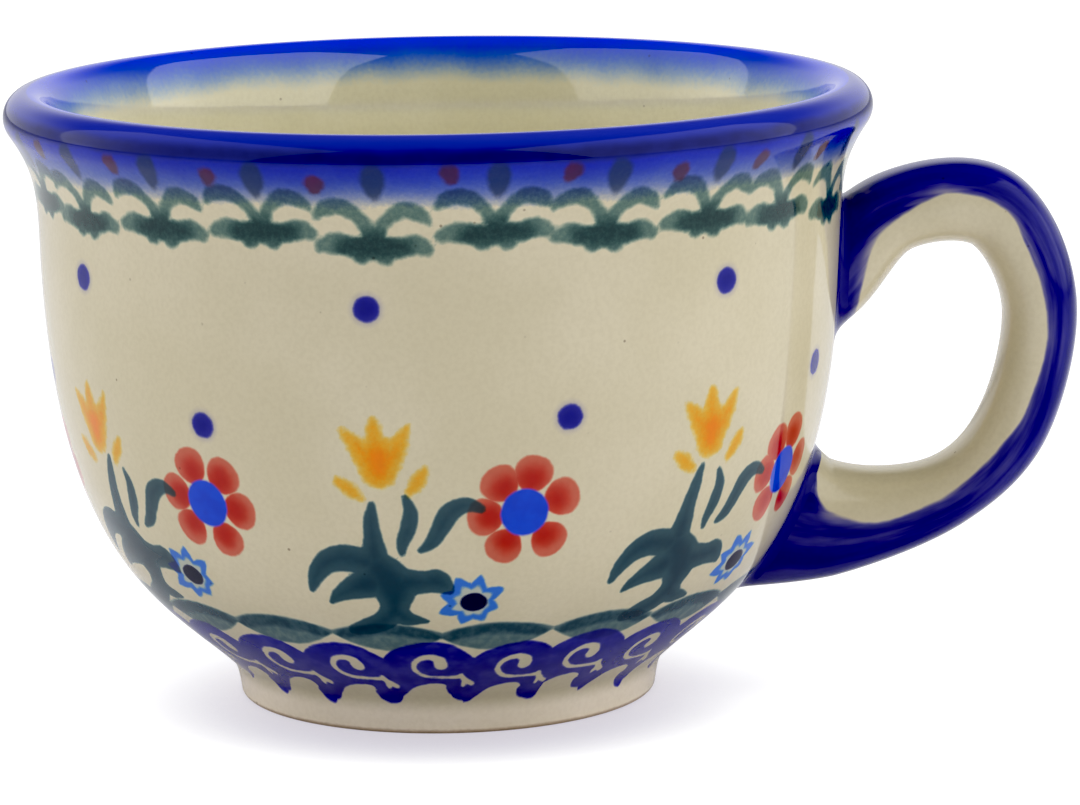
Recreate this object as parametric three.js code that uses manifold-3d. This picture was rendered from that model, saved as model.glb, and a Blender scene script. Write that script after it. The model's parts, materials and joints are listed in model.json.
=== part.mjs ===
// Footed stoneware cup with a flared rolled rim and a luted ear handle.
// Units are millimetres, +Z is up and the handle points along +X.
// The origin is under the middle of the bounding box, on the surface that the cup stands on.
import * as THREE from "three";
import { mergeVertices } from "three/addons/utils/BufferGeometryUtils.js";
import Module from "manifold-3d";

const wasm = await Module();
wasm.setup();

// Driving dimensions of the cup.
const CUP_HEIGHT = 76.3;
const RIM_RADIUS = 53.5;
const LIP_RADIUS = 3.1; // half the thickness of the rolled lip
const LIP_START = -0.6; // radians below straight out, where the flare meets the lip
const LIP_END = 2.5; // radians, where the lip runs into the inside wall
const NECK_RADIUS = 49.5; // outside of the wall where it is upright
const NECK_HEIGHT = 57;
const WALL = 3.9;
const FLOOR_TOP = 8.4; // inside of the floor, above the table
const FLOOR_RADIUS = 18; // flat part of the floor
const FLOOR_UNDERSIDE = 2.6; // recess inside the foot ring
const SPIGOT_TAPER = 0.4; // the floor narrows downwards inside the foot ring

// Middle control points [radius, height] of the cubic curves of the wall.
const BOWL_CURVE = [[35.6, 13], [NECK_RADIUS - 0.8, 17.4]];
const FLARE_PULL = [NECK_RADIUS + 0.1, 63.8];
const FLARE_PUSH = [-3.2, -4.7]; // from where the flare meets the lip
const INSIDE_RADIUS = NECK_RADIUS - WALL;
const INSIDE_FLARE_CURVE = [[46.4, 73.2], [INSIDE_RADIUS, 67]];
const INSIDE_BOWL_CURVE = [[INSIDE_RADIUS - 0.8, 20.5], [34, FLOOR_TOP + 1.6]];

// Foot ring.
const FOOT_HEIGHT = 4.8;
const FOOT_RADIUS_BOTTOM = 26;
const FOOT_RADIUS_TOP = 27.3;
const FOOT_RADIUS_INSIDE = 21.6;
const FOOT_EDGE = 0.7; // chamfer of the two bottom edges

// Joints between the separately made pieces.
const GAP = 0.3;
const SLIP_THICKNESS = 1.1; // layer of slip that holds a handle root
const SLIP_BEAD = 0.9; // how far the squeezed-out slip stands past the root

// Handle: a strap on a smooth path in the XZ plane. Each station is [x, z] from the cup's axis,
// with half the strap's thickness in that plane and half its width across it.
const HANDLE_STATIONS = [
  { at: [41.3, 41.5], thick: 2.4, wide: 7.6 },
  { at: [47.8, 50.9], thick: 5.5, wide: 8.0 },
  { at: [56.4, 59.2], thick: 4.9, wide: 7.3 },
  { at: [68.4, 59.4], thick: 5.1, wide: 7.0 },
  { at: [74.3, 47.8], thick: 4.6, wide: 7.0 },
  { at: [71.2, 32.5], thick: 4.4, wide: 7.0 },
  { at: [62.6, 23.7], thick: 4.3, wide: 7.2 },
  { at: [48.3, 20.6], thick: 7.2, wide: 8.0 },
  { at: [36.5, 23.7], thick: 12.8, wide: 8.8 },
];
const SECTION_POWER = 2.5; // superellipse: 2 is an ellipse, larger is squarer

// Facets.
const LATHE_SEGMENTS = 60;
const CUTTER_SEGMENTS = 120;
const SECTION_SIDES = 16;
const HANDLE_STEPS = 44;
const CURVE_STEPS = 9;
const LIP_STEPS = 7;

const COBALT = 0x16208f;
const CREAM = 0xd8d2b8;
const BISQUE = 0xb89a78;

// A cubic curve between four [radius, height] points, as a list of Vector2.
function cubic(start, pull, push, end) {
  const corners = [start, pull, push, end].map(([r, z]) => new THREE.Vector2(r, z));
  return new THREE.CubicBezierCurve(...corners).getPoints(CURVE_STEPS);
}

// Points of the lip's round, between two angles from straight out.
function lipArc(from, to, steps) {
  const centre = new THREE.Vector2(RIM_RADIUS - LIP_RADIUS, CUP_HEIGHT - LIP_RADIUS);
  const points = [];
  for (let step = 0; step <= steps; step += 1) {
    const angle = THREE.MathUtils.lerp(from, to, step / steps);
    points.push(new THREE.Vector2(Math.cos(angle), Math.sin(angle)).multiplyScalar(LIP_RADIUS).add(centre));
  }
  return points;
}

const lipStart = lipArc(LIP_START, LIP_START, 1)[0].toArray();
const lipEnd = lipArc(LIP_END, LIP_END, 1)[0].toArray();

// The outside of the bowl and the flare under the lip, from the foot upwards.
function outsideProfile() {
  const flarePush = [lipStart[0] + FLARE_PUSH[0], lipStart[1] + FLARE_PUSH[1]];
  const bowl = cubic([FOOT_RADIUS_TOP, FOOT_HEIGHT], ...BOWL_CURVE, [NECK_RADIUS, NECK_HEIGHT]);
  const flare = cubic([NECK_RADIUS, NECK_HEIGHT], FLARE_PULL, flarePush, lipStart);
  return [...bowl, ...flare.slice(1)];
}

// The inside of the cup, from the lip down to the middle of the floor.
function insideProfile() {
  const neck = [INSIDE_RADIUS, NECK_HEIGHT];
  const flare = cubic(lipEnd, ...INSIDE_FLARE_CURVE, neck);
  const bowl = cubic(neck, ...INSIDE_BOWL_CURVE, [FLOOR_RADIUS, FLOOR_TOP]);
  return [...flare.slice(1), ...bowl.slice(1), new THREE.Vector2(0, FLOOR_TOP)];
}

// A solid of revolution about Z from a closed outline that starts and ends on the axis.
function turned(outline, segments = LATHE_SEGMENTS) {
  return new THREE.LatheGeometry(outline, segments).rotateX(Math.PI / 2);
}

function toSolid(geometry) {
  const bare = geometry.clone();
  bare.deleteAttribute("normal");
  bare.deleteAttribute("uv");
  const merged = mergeVertices(bare, 1e-4);
  return new wasm.Manifold(new wasm.Mesh({
    numProp: 3,
    vertProperties: Float32Array.from(merged.attributes.position.array),
    triVerts: Uint32Array.from(merged.index.array),
  }));
}

function toGeometry(solid) {
  const { vertProperties, triVerts } = solid.getMesh();
  const geometry = new THREE.BufferGeometry();
  geometry.setAttribute("position", new THREE.BufferAttribute(vertProperties, 3));
  geometry.setIndex(new THREE.BufferAttribute(triVerts, 1));
  geometry.computeVertexNormals();
  return geometry;
}

// The cup's outside grown by a clearance, filled in to the axis, to trim what meets the wall.
function wallCutter(clearance) {
  const profile = outsideProfile();
  const grown = profile.map((point, index) => {
    const before = profile[Math.max(index - 1, 0)];
    const after = profile[Math.min(index + 1, profile.length - 1)];
    const along = after.clone().sub(before).normalize();
    return point.clone().add(new THREE.Vector2(along.y, -along.x).multiplyScalar(clearance));
  });
  const bottom = grown[0];
  const top = grown[grown.length - 1];
  const outline = [
    new THREE.Vector2(0, 0),
    new THREE.Vector2(bottom.x, 0),
    ...grown,
    new THREE.Vector2(0, top.y),
  ];
  return toSolid(turned(outline, CUTTER_SEGMENTS));
}

// The strap as rings of points along its path, grown all round by a margin, with capped ends.
function strap(margin) {
  const path = new THREE.SplineCurve(HANDLE_STATIONS.map(({ at }) => new THREE.Vector2(...at)));
  const size = new THREE.SplineCurve(HANDLE_STATIONS.map(({ thick, wide }) => new THREE.Vector2(thick, wide)));
  const positions = [];
  for (let step = 0; step <= HANDLE_STEPS; step += 1) {
    const share = step / HANDLE_STEPS;
    const centre = path.getPoint(share);
    const along = path.getTangent(share);
    const half = size.getPoint(share).addScalar(margin);
    for (let side = 0; side < SECTION_SIDES; side += 1) {
      const angle = (side / SECTION_SIDES) * 2 * Math.PI;
      const out = half.x * roundedUnit(Math.cos(angle));
      const across = half.y * roundedUnit(Math.sin(angle));
      positions.push(centre.x - along.y * out, across, centre.y + along.x * out);
    }
  }
  const firstCap = addMiddle(positions, path.getPoint(0));
  const lastCap = addMiddle(positions, path.getPoint(1));
  const geometry = new THREE.BufferGeometry();
  geometry.setAttribute("position", new THREE.Float32BufferAttribute(positions, 3));
  geometry.setIndex(strapFaces(firstCap, lastCap));
  return toSolid(geometry);
}

function roundedUnit(value) {
  return Math.sign(value) * Math.abs(value) ** (2 / SECTION_POWER);
}

function addMiddle(positions, point) {
  positions.push(point.x, 0, point.y);
  return positions.length / 3 - 1;
}

function strapFaces(firstCap, lastCap) {
  const faces = [];
  const lastRing = HANDLE_STEPS * SECTION_SIDES;
  for (let side = 0; side < SECTION_SIDES; side += 1) {
    const next = (side + 1) % SECTION_SIDES;
    for (let ring = 0; ring < lastRing; ring += SECTION_SIDES) {
      const above = ring + SECTION_SIDES;
      faces.push(ring + side, above + side, above + next);
      faces.push(ring + side, above + next, ring + next);
    }
    faces.push(firstCap, side, next);
    faces.push(lastCap, lastRing + next, lastRing + side);
  }
  return faces;
}

// Cup body: bowl, flared neck, rolled lip and floor in one hollow wall.
function cupBody() {
  const seat = FOOT_HEIGHT + GAP; // the body sits this high over the foot ring
  const spigot = FOOT_RADIUS_INSIDE - GAP; // the floor drops inside the foot ring
  const outline = [
    new THREE.Vector2(0, FLOOR_UNDERSIDE),
    new THREE.Vector2(spigot - SPIGOT_TAPER, FLOOR_UNDERSIDE),
    new THREE.Vector2(spigot, seat),
    new THREE.Vector2(FOOT_RADIUS_TOP + GAP, seat),
    ...outsideProfile().slice(1),
    ...lipArc(LIP_START, LIP_END, LIP_STEPS).slice(1),
    ...insideProfile(),
  ];
  return turned(outline);
}

// Foot ring: slightly flared upwards, with an unglazed face that the cup stands on.
function footRing() {
  const outline = [
    [FOOT_RADIUS_INSIDE + FOOT_EDGE, 0],
    [FOOT_RADIUS_BOTTOM - FOOT_EDGE, 0],
    [FOOT_RADIUS_BOTTOM, FOOT_EDGE],
    [FOOT_RADIUS_TOP, FOOT_HEIGHT],
    [FOOT_RADIUS_INSIDE, FOOT_HEIGHT],
    [FOOT_RADIUS_INSIDE, FOOT_EDGE],
    [FOOT_RADIUS_INSIDE + FOOT_EDGE, 0],
  ];
  return turned(outline.map(([r, z]) => new THREE.Vector2(r, z)));
}

// Handle: the strap, ending a slip layer short of the wall.
function handle() {
  return toGeometry(strap(0).subtract(wallCutter(GAP + SLIP_THICKNESS + GAP)));
}

// Slip joints: the thin layer of slip, with its bead, between each handle root and the wall.
function slipJoints() {
  const layer = wallCutter(GAP + SLIP_THICKNESS).subtract(wallCutter(GAP));
  const [first, second] = strap(SLIP_BEAD).intersect(layer).decompose();
  const middleHeight = (solid) => solid.boundingBox().min[2] + solid.boundingBox().max[2];
  const upperFirst = middleHeight(first) > middleHeight(second);
  return {
    upper: toGeometry(upperFirst ? first : second),
    lower: toGeometry(upperFirst ? second : first),
  };
}

function glazed(color) {
  return new THREE.MeshStandardMaterial({ color, roughness: 0.15, metalness: 0 });
}

function named(name, geometry, material) {
  const mesh = new THREE.Mesh(geometry, material);
  mesh.name = name;
  return mesh;
}

const joints = slipJoints();
const bisque = new THREE.MeshStandardMaterial({ color: BISQUE, roughness: 0.8, metalness: 0 });
const mug = new THREE.Group();
mug.add(
  named("cup_body", cupBody(), glazed(CREAM)),
  named("foot_ring", footRing(), bisque),
  named("handle", handle(), glazed(COBALT)),
  named("handle_upper_slip_joint", joints.upper, glazed(COBALT)),
  named("handle_lower_slip_joint", joints.lower, glazed(COBALT)),
);

// Put the middle of the bounding box over the origin.
const middle = new THREE.Box3().setFromObject(mug).getCenter(new THREE.Vector3());
mug.position.set(-middle.x, -middle.y, 0);
mug.updateMatrixWorld(true);

export default mug;
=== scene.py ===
import json
import math

import bpy
import numpy as np
from mathutils import Matrix, Vector

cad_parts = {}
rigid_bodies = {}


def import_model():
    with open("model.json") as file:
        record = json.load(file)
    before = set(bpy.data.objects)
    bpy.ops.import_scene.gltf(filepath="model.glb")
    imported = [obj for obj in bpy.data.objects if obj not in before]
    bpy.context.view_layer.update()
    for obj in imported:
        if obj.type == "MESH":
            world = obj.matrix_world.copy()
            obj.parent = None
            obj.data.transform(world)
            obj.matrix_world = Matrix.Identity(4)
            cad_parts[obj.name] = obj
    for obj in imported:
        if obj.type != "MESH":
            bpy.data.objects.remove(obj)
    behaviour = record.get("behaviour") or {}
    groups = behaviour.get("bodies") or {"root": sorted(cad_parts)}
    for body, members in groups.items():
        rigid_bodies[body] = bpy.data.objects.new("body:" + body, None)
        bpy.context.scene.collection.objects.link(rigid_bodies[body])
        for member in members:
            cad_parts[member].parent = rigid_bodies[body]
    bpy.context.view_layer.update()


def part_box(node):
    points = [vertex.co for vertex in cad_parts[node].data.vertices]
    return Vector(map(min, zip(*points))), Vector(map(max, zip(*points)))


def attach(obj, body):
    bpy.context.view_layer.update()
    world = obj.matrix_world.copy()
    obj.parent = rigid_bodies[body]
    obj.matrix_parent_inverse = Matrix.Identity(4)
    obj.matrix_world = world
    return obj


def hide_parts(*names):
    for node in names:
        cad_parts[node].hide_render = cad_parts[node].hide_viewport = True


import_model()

# -------- sizes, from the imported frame

MM = 0.001
BODY_LOW, BODY_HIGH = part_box("cup_body")
FOOT_LOW, FOOT_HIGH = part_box("foot_ring")
CUP_AXIS_X = (FOOT_LOW[0] + FOOT_HIGH[0]) / 2  # metres, and all below but the stage is in millimetres
CUP_HEIGHT = BODY_HIGH[2] / MM
RIM_RADIUS = 53.5
FOOT_RADIUS_TOP = (FOOT_HIGH[0] - FOOT_LOW[0]) / 2 / MM
FOOT_HEIGHT = FOOT_HIGH[2] / MM
FLOOR_UNDERSIDE = BODY_LOW[2] / MM

LIP_RADIUS = 3.1
LIP_START = -0.6  # radians from straight out, where the flare meets the rolled lip
LIP_END = 2.5
NECK_RADIUS = 49.5
NECK_HEIGHT = 57.0
WALL = 3.9
FLOOR_TOP = 8.4
FLOOR_RADIUS = 18.0  # flat part of the floor
FOOT_RADIUS_BOTTOM = 26.0
FOOT_RADIUS_INSIDE = 21.6
FOOT_EDGE = 0.7

# Middle control points (radius, height) of the cubic curves of the wall and the foot.
BOWL_CURVE = [(35.6, 13.0), (NECK_RADIUS - 0.8, 17.4)]
FLARE_PULL = (NECK_RADIUS + 0.1, 63.8)
FLARE_PUSH = (-3.2, -4.7)  # from where the flare meets the lip
INSIDE_RADIUS = NECK_RADIUS - WALL
INSIDE_FLARE_CURVE = [(46.4, 73.2), (INSIDE_RADIUS, 67.0)]
INSIDE_BOWL_CURVE = [(INSIDE_RADIUS - 0.8, 20.5), (34.0, FLOOR_TOP + 1.6)]
FOOT_CURVE = [(26.3, 2.6), (26.5, 4.1)]
SEAT = FOOT_HEIGHT + 0.15  # where the bowl meets the foot
SPIGOT_RADIUS = FOOT_RADIUS_INSIDE - 0.1  # the floor, where it sits inside the foot ring
SPIGOT_TAPER = 0.6

# Grids of the finished meshes.
WALL_COLUMNS = 760
WALL_STEP = 0.42  # spacing of the rows on the painted outside
PLAIN_STEP = 1.3
LIP_STEP = 0.3
FOOT_STEP = 0.3
SPIGOT_STEP = 0.6
FOOT_POINTS = 80
EDGE_POINTS = 8
EDGE_SOFTNESS = 0.1  # radians that the foot's rounded edges stop short of its sides
CURVE_POINTS = 240
HANDLE_SIDES = 64
HANDLE_STEPS = 200
STRAP_POINTS = 1200  # of the handle's path, before it is cut into steps
ROOT_POINTS = 700  # tried on each half of it, to find the wall
OUTLINE_POINTS = 4000  # of the strap's section, before it is cut into sides

# Handle: the same stations as the CAD strap, [x, z, half thickness, half width].
HANDLE_STATIONS = [
    (41.3, 41.5, 2.4, 7.6),
    (47.8, 50.9, 5.5, 8.0),
    (56.4, 59.2, 4.9, 7.3),
    (68.4, 59.4, 5.1, 7.0),
    (74.3, 47.8, 4.6, 7.0),
    (71.2, 32.5, 4.4, 7.0),
    (62.6, 23.7, 4.3, 7.2),
    (48.3, 20.6, 7.2, 8.0),
    (36.5, 23.7, 12.8, 8.8),
]
SECTION_POWER = 2.5
# Edge of the cream panel: how far along the strap (0 to 1), and how far out round it, from -1 on the
# finger side to 1 on the back of the hand.
PANEL_EDGE = [
    (0.11, -1.0), (0.15, -0.5), (0.2, -0.08), (0.25, 0.08), (0.315, 0.39),
    (0.38, 0.2), (0.45, 0.02), (0.53, 0.08), (0.6, -0.03), (0.7, -0.33),
    (0.78, -0.12), (0.84, -0.09), (0.88, -0.24), (0.903, -0.5), (0.912, -1.0),
]
GIRTH = 4.8  # turns how far out round the strap into millimetres
STRAP_THICK = 5.0  # half the strap's usual thickness and width
STRAP_WIDE = 7.2
STRAP_LENGTH = 105.0
STRAP_SINK = 0.8  # how deep the strap's ends reach into the wall
FILLET = 1.3  # how far the slip bead reaches up the handle and out over the wall
FILLET_SINK = 0.5  # how deep the bead's hidden side lies in the wall and in the strap
FILLET_LIFT = 0.02  # how far its thin edges stand out of them
FILLET_RINGS = 13

SHARP_FOLD = math.radians(50)
FAR = -9.0  # what a stamp's distance field holds where there is no stamp


# -------- curves

def spline(points, count):
    """Uniform Catmull-Rom curve through points of any dimension."""
    points = np.asarray(points, float)
    last = len(points) - 1
    position = np.linspace(0, last, count)
    span = np.minimum(position.astype(int), last - 1)
    share = (position - span)[:, None]

    def corner(offset):
        return points[np.clip(span + offset, 0, last)]

    before, start, end, after = corner(-1), corner(0), corner(1), corner(2)
    leave = (end - before) / 2
    arrive = (after - start) / 2
    cubic_part = (2 * start - 2 * end + leave + arrive) * share**3
    square_part = (-3 * start + 3 * end - 2 * leave - arrive) * share**2
    return cubic_part + square_part + leave * share + start


def cubic(start, pull, push, end, count=CURVE_POINTS):
    share = np.linspace(0, 1, count)[:, None]
    corners = [np.asarray(corner, float) for corner in (start, pull, push, end)]
    weights = ((1 - share) ** 3, 3 * (1 - share) ** 2 * share, 3 * (1 - share) * share**2, share**3)
    return sum(weight * corner for weight, corner in zip(weights, corners))


def arc(centre, radius, start, end, count=60):
    angle = np.linspace(start, end, count)
    return np.stack([centre[0] + radius * np.cos(angle), centre[1] + radius * np.sin(angle)], 1)


def arc_length(points):
    steps = np.linalg.norm(np.diff(points, axis=0), axis=1)
    return np.concatenate([[0.0], np.cumsum(steps)])


def resample(points, step):
    length = arc_length(points)
    count = max(int(round(length[-1] / step)), 1) + 1
    at = np.linspace(0, length[-1], count)
    return np.stack([np.interp(at, length, points[:, axis]) for axis in (0, 1)], 1)


LIP_CENTRE = (RIM_RADIUS - LIP_RADIUS, CUP_HEIGHT - LIP_RADIUS)
LIP_FOOT = arc(LIP_CENTRE, LIP_RADIUS, LIP_START, LIP_START, 1)[0]
LIP_INSIDE = arc(LIP_CENTRE, LIP_RADIUS, LIP_END, LIP_END, 1)[0]


def outside_profile():
    """Radius and height of the wall's outside, from the foot up to the lip."""
    neck = (NECK_RADIUS, NECK_HEIGHT)
    bowl = cubic((FOOT_RADIUS_TOP, FOOT_HEIGHT), *BOWL_CURVE, neck)
    flare = cubic(neck, FLARE_PULL, LIP_FOOT + FLARE_PUSH, LIP_FOOT)
    return np.concatenate([bowl, flare[1:]])


def inside_profile():
    """Radius and height of the wall's inside, from the lip down to the middle of the floor."""
    neck = (INSIDE_RADIUS, NECK_HEIGHT)
    flare = cubic(LIP_INSIDE, *INSIDE_FLARE_CURVE, neck)
    bowl = cubic(neck, *INSIDE_BOWL_CURVE, (FLOOR_RADIUS, FLOOR_TOP))
    return np.concatenate([flare, bowl[1:], [(0.0, FLOOR_TOP)]])


OUTSIDE = outside_profile()
SEAT_RADIUS = float(np.interp(SEAT, OUTSIDE[:, 1], OUTSIDE[:, 0]))


def wall_clearance(x, y, z):
    """How far points are outside the wall, measured square to it."""
    radius = np.hypot(x, y)
    slope = np.gradient(OUTSIDE[:, 0]) / np.maximum(np.gradient(OUTSIDE[:, 1]), 1e-6)
    here = np.interp(z, OUTSIDE[:, 1], OUTSIDE[:, 0])
    lean = np.interp(z, OUTSIDE[:, 1], slope)
    return (radius - here) / np.hypot(1, lean)


# -------- meshes

def to_metres(points):
    placed = np.asarray(points, float) * MM
    placed[:, 0] += CUP_AXIS_X
    return placed


def new_piece(name, points, faces, materials, face_slots=None):
    mesh = bpy.data.meshes.new(name)
    mesh.from_pydata(to_metres(points).tolist(), [], faces)
    for material in materials:
        mesh.materials.append(material)
    if face_slots is not None:
        mesh.polygons.foreach_set("material_index", np.asarray(face_slots, np.int32))
    mesh.polygons.foreach_set("use_smooth", np.ones(len(mesh.polygons), bool))
    mesh.set_sharp_from_angle(angle=SHARP_FOLD)
    mesh.update()
    piece = bpy.data.objects.new(name, mesh)
    bpy.context.scene.collection.objects.link(piece)
    return piece


def add_field(piece, name, values):
    field = piece.data.attributes.new(name, "FLOAT", "POINT")
    field.data.foreach_set("value", np.asarray(values, np.float32))


def turned(profile):
    """Points of a profile turned about Z, one ring after another."""
    angle = np.linspace(-math.pi, math.pi, WALL_COLUMNS, endpoint=False)
    x = np.outer(profile[:, 0], np.cos(angle))
    y = np.outer(profile[:, 0], np.sin(angle))
    z = np.outer(profile[:, 1], np.ones(WALL_COLUMNS))
    return np.stack([x, y, z], -1).reshape(-1, 3)


def band_faces(rings, columns):
    ring, column = np.meshgrid(np.arange(rings - 1), np.arange(columns), indexing="ij")
    after = (column + 1) % columns
    low, high = ring * columns, (ring + 1) * columns
    quads = np.stack([low + column, low + after, high + after, high + column], -1)
    return quads.reshape(-1, 4)


def loop_faces(rings, columns):
    """Faces between rings whose last one joins the first."""
    return (band_faces(rings + 1, columns) % (rings * columns)).tolist()


def turned_solid(profile):
    """Points and faces of a profile turned about Z. The profile's ends lie on the axis."""
    points = turned(profile[1:-1])
    first, last = len(points), len(points) + 1
    points = np.concatenate([points, [(0, 0, profile[0, 1]), (0, 0, profile[-1, 1])]])
    faces = band_faces(len(profile) - 2, WALL_COLUMNS).tolist()
    top = first - WALL_COLUMNS
    for column in range(WALL_COLUMNS):
        after = (column + 1) % WALL_COLUMNS
        faces.append((first, after, column))
        faces.append((last, top + column, top + after))
    return points, faces


# -------- stamped decoration
# Stamps are drawn on the unrolled wall: u runs right round the cup, v up along the wall, both in
# millimetres at the radius of the upright wall. A brush stroke is a list of (u, v, radius).

STAMP_RADIUS = NECK_RADIUS

SPRIG = [
    [(0.1, 0.3, 1.0), (-1.4, 2.8, 0.72), (-3.4, 4.5, 1.08), (-5.4, 4.3, 0.95), (-6.6, 3.1, 0.3)],
    [(0.1, 0.3, 1.0), (1.3, 2.6, 0.72), (3.3, 4.2, 1.08), (5.1, 3.7, 0.95), (6.2, 2.6, 0.3)],
    [(0.2, -0.5, 1.45), (-2.3, -0.5, 1.2), (-4.4, -0.1, 1.2), (-6.2, -0.5, 0.7)],
    [(0.2, -0.5, 1.45), (2.6, -0.5, 1.15), (4.6, -0.1, 1.15), (6.0, -0.6, 0.75)],
    [(-1.6, -1.35, 1.0), (-1.5, -1.4, 1.0)],
    [(1.2, -1.4, 1.05), (1.3, -1.45, 1.05)],
]
SPRIG_HEART = [(-3.2, -0.5, 1.0), (0.0, -0.2, 1.6), (3.4, -0.4, 1.0)]
SPRIG_LEAF = [(0.0, 2.0, 0.9), (0.0, 1.0, 1.35), (0.0, -0.6, 1.1), (0.0, -2.2, 0.25)]
SPRIG_BERRY = [(0.0, 0.3, 1.1), (0.0, -0.7, 0.75)]

TULIP = [
    [(-1.6, 27.3, 2.2), (-1.6, 28.8, 2.7)],
    [(-2.9, 28.6, 1.5), (-4.1, 30.2, 1.15), (-5.9, 32.1, 0.25)],
    [(-1.8, 29.5, 1.3), (-2.0, 32.0, 0.95), (-2.0, 33.3, 0.55)],
    [(-0.3, 28.6, 1.5), (0.85, 30.4, 1.1), (2.1, 32.8, 0.2)],
    [(-6.7, 25.8, 0.55), (-5.4, 24.9, 0.85), (-4.0, 23.8, 0.35)],
    [(3.9, 27.3, 0.45), (3.0, 25.9, 0.8), (1.9, 24.4, 0.35)],
]
PLANT = [
    [(-4.2, 15.2, 1.9), (-7.2, 15.7, 1.8), (-9.7, 14.9, 1.5), (-11.5, 13.0, 1.1), (-12.5, 10.9, 0.5)],
    [(-4.0, 12.3, 2.3), (-7.2, 11.0, 1.4), (-9.0, 10.0, 0.85), (-10.1, 9.0, 0.3)],
    [(-2.6, 14.2, 2.6), (-1.0, 12.0, 3.1), (-0.9, 9.8, 2.3), (-1.1, 8.2, 1.95)],
    [(0.8, 12.4, 2.0), (3.4, 12.4, 1.6), (5.1, 12.5, 1.7), (6.4, 11.6, 0.95), (6.9, 10.8, 0.3)],
    [(-1.1, 8.0, 1.9), (-3.0, 6.1, 1.6), (-5.5, 5.0, 1.45), (-7.8, 4.3, 0.9)],
    [(-1.1, 7.8, 1.9), (0.6, 6.6, 1.2), (2.3, 6.3, 0.7), (3.5, 6.1, 0.3)],
]
SHORT_STEM = [(-2.75, 23.0, 0.45), (-3.0, 21.0, 0.95), (-2.95, 18.5, 1.2), (-2.9, 16.0, 1.7)]
LONG_STEM = [(-1.25, 25.1, 0.4), (-1.9, 22.6, 0.92), (-2.5, 19.8, 1.2), (-2.9, 16.3, 1.8)]
LEAVES = [
    [(1.4, 24.0, 0.35), (2.0, 22.1, 0.85), (1.6, 19.8, 1.0), (0.8, 17.8, 0.7), (0.7, 16.6, 0.4)],
    [(10.9, 22.3, 0.45), (9.0, 22.9, 0.9), (7.0, 22.0, 1.25),
     (5.75, 20.0, 1.1), (4.6, 18.1, 0.9), (3.1, 17.0, 0.4)],
]
PETAL_REACH = 4.95
PETAL_LENGTH = 2.3  # half of it
PETAL_WIDTH = 2.4
PETAL_FLARE = 0.12  # a petal is a little wider at its outer end
PETAL_POOL = (0.8, 1.6)  # where the colour pools: how far in from the petal's middle, and its radius
FLOWER_CENTRE = (16.25, 21.6)
FLOWER_HEART_RADIUS = 3.05
STAR_CENTRE = (10.1, 9.2)
STAR_OUTLINE = [  # a tip, then the valley after it: degrees and radius
    (27, 4.6), (52, 2.6), (78, 4.2), (100, 2.8), (124, 4.6), (147, 3.3), (164, 4.9), (181, 3.4),
    (199, 5.3), (222, 3.0), (244, 4.0), (268, 2.6), (296, 3.5), (320, 2.7), (342, 3.6), (365, 2.8),
]
STAR_HOLE_SHARE = 0.5  # the paler middle of the star follows its outline
STAR_HOLE_MARGIN = 0.55
STAR_SLANT = 0.6  # how much nearer a slanting ray's edge is than it seems from the middle
EYE_SIZE = (1.85, 1.42)

# The ways the six petals of a flower were dabbed, as angles in degrees.
PETALS_EVEN = (50, 110, 169, 224, 293, 354)
PETALS_LOPSIDED = (20, 79, 130, 184, 240, 312)
PETALS_TURNED = (8, 75, 127, 176, 232, 312)

# Flower units round the cup: the angle of the plant in degrees (the handle is at 0), its stem, how far
# the leaves, the tulip, the flower and the star were stamped from their usual place, how far the star
# is turned, and the flower's petals.
FLOWER_UNITS = [
    (-146.9, LONG_STEM, (0.45, 0.0), (-1.8, 0.4), (0.8, 0.0), (-0.3, 1.5), 6, PETALS_EVEN),
    (-97.4, SHORT_STEM, (0.0, 0.0), (0.0, 0.0), (0.0, 0.0), (0.0, 0.0), 0, PETALS_LOPSIDED),
    (-48.5, LONG_STEM, (0.45, 0.1), (1.15, 1.0), (0.9, -0.1), (2.15, 0.7), -5, PETALS_TURNED),
    (30.0, SHORT_STEM, (0.2, 0.0), (0.4, 0.3), (0.3, -0.4), (0.6, 0.6), 10, PETALS_LOPSIDED),
    (75.8, LONG_STEM, (0.3, 0.2), (-0.6, 0.2), (0.0, 0.5), (0.2, 0.9), -8, PETALS_EVEN),
    (121.6, SHORT_STEM, (0.0, 0.1), (0.8, 0.6), (0.6, 0.2), (1.0, 0.3), 4, PETALS_TURNED),
    (167.3, LONG_STEM, (0.4, 0.0), (-0.4, -0.2), (0.3, -0.3), (0.0, 0.8), -3, PETALS_EVEN),
]
FLOWER_HEIGHT = 11.5
# Dots above and between the plants: degrees round the cup, and height up the wall.
UPPER_DOTS = [
    (-149.3, 58.7), (-100.1, 58.1), (-47.7, 58.8), (29.0, 58.4), (75.0, 59.0), (119.5, 58.2), (166.0, 58.9),
]
LOWER_DOTS = [
    (-125.7, 43.1), (-72.5, 44.7), (-22.5, 45.7), (54.0, 44.2), (98.0, 45.0), (142.5, 43.8), (-170.5, 44.6),
]
DOT_RADIUS = 1.5

SPRIG_COUNT = 23
SPRIG_START = -145.8
SPRIG_HEIGHT = 66.4
SPRIG_LEAF_HEIGHT = 73.5
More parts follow.
